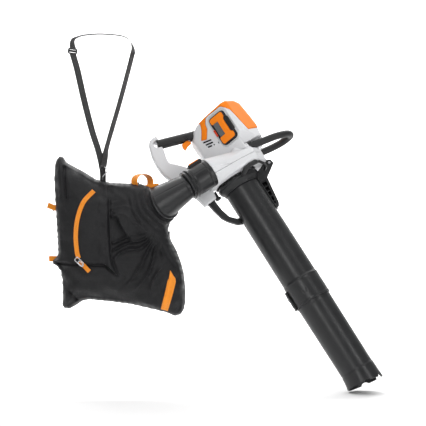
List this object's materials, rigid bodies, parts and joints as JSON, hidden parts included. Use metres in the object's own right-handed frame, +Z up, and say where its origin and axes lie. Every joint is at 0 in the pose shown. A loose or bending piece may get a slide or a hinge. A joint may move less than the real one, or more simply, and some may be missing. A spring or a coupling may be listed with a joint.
{
  "type": "leaf vacuum mulcher",
  "caption": "Handheld battery leaf vacuum and shredder with hinged suction tube, loop handle, catch bag and shoulder strap.",
  "frame": {"origin": "centre of the rear grip, where the hand closes round it", "axes": "+Z up, as the tool hangs from the hand and the strap; +X toward the suction mouth's side; +Y away from the battery side"},
  "size_m": [1.0323, 0.398, 1.1021],
  "materials": {
    "white_plastic": "fine texture",
    "orange_plastic": "fine texture",
    "black_plastic": "satin, fine texture",
    "black_tube": "satin",
    "grip_rubber": "soft touch",
    "label_grey": "printed plate",
    "release_red": "satin",
    "board_green": "coated board",
    "steel": "brushed",
    "zinc": "plated",
    "bag_cloth": "coated plain weave",
    "band_cloth": "ribbed webbing",
    "orange_web": "woven tape",
    "strap_web": "woven webbing"
  },
  "bodies": {
    "frame": {"fan_housing_upper": "white_plastic", "fan_housing_lower": "white_plastic", "top_cover": "orange_plastic", "motor_housing_near": "white_plastic", "motor_housing_far": "white_plastic", "battery_bay": "black_plastic", "contact_block": "black_plastic", "control_board": "board_green", "motor_can": "steel", "motor_stator": "steel", "bearing_upper": "steel", "bearing_lower": "steel", "rear_grip": "grip_rubber", "handle_hoop": "white_plastic", "hoop_screw": "steel", "trigger_pin": "steel", "trigger_switch": "black_plastic", "front_loop": "grip_rubber", "hinge_pin": "steel", "elbow_collar": "black_tube", "elbow_ring": "black_tube", "elbow_cone": "black_tube", "bag_front": "bag_cloth", "bag_rear": "bag_cloth", "bag_neck": "bag_cloth", "neck_band": "band_cloth", "zip_tape": "orange_web", "corner_stripe": "orange_web", "zip_slider": "zinc", "zip_ring": "zinc", "zip_pull": "orange_web", "carry_loop": "orange_web", "side_tab_upper": "orange_web", "side_tab_lower": "orange_web", "strap_left": "strap_web", "strap_top": "strap_web", "strap_right": "strap_web", "strap_slider": "black_plastic", "strap_ring": "zinc", "snap_hook": "zinc", "bag_ring": "zinc"},
    "trigger_body": {"trigger": "orange_plastic"},
    "button": {"lockout_button": "black_plastic"},
    "battery": {"battery_case": "black_plastic", "battery_face": "orange_plastic", "battery_label": "label_grey"},
    "release": {"battery_release": "release_red"},
    "rotor": {"rotor_shaft": "steel", "rotor_core": "steel", "fan_impeller": "steel", "shredder_blade": "steel", "hub_nut": "steel"},
    "suction_tube": {"tube_collar": "black_plastic", "tube_upper": "black_tube", "tube_lower": "black_tube", "sleeve_clip": "black_plastic", "tube_bow": "black_plastic"},
    "latch": {"tube_latch": "black_plastic"},
    "duct_latch": {"elbow_latch": "black_plastic"}
  },
  "joints": [
    {"name": "trigger_pull", "type": "hinge", "parent": "frame", "child": "trigger_body", "pos_m": [0.04111, 0.00388, -0.00192], "axis": [-0.1038, 0.9412, -0.3216], "range_deg": [0, 7], "stiffness_Nm_per_rad": 0.6, "springref_deg": -6.88},
    {"name": "lockout_press", "type": "slide", "parent": "frame", "child": "button", "axis": [-0.1038, 0.9412, -0.3216], "range_m": [0, 0.003], "stiffness_N_per_m": 300, "springref_m": -0.002},
    {"name": "battery_slide", "type": "slide", "parent": "frame", "child": "battery", "axis": [-0.4911, -0.8682, -0.0715], "range_m": [0, 0.105]},
    {"name": "battery_release_press", "type": "slide", "parent": "battery", "child": "release", "axis": [0.7005, -0.4424, 0.56], "range_m": [0, 0.0014], "stiffness_N_per_m": 400, "springref_m": -0.001},
    {"name": "fan_spin", "type": "hinge", "parent": "frame", "child": "rotor", "pos_m": [0.18077, -0.02842, -0.1042], "axis": [-0.5178, 0.225, 0.8254], "continuous": true},
    {"name": "tube_swing", "type": "hinge", "parent": "frame", "child": "suction_tube", "pos_m": [0.29788, -0.00538, -0.07457], "axis": [0.1038, -0.9412, 0.3216], "range_deg": [0, 55]},
    {"name": "tube_latch_pivot", "type": "hinge", "parent": "suction_tube", "child": "latch", "pos_m": [0.1346, -0.04978, -0.18913], "axis": [0.1038, -0.9412, 0.3216], "range_deg": [0, 5], "stiffness_Nm_per_rad": 0.8, "springref_deg": -5.73},
    {"name": "duct_latch_lift", "type": "hinge", "parent": "frame", "child": "duct_latch", "pos_m": [0.0395, -0.11029, -0.09297], "axis": [0.1038, -0.9412, 0.3216], "range_deg": [0, 12], "stiffness_Nm_per_rad": 0.8, "springref_deg": -5.73}
  ]
}
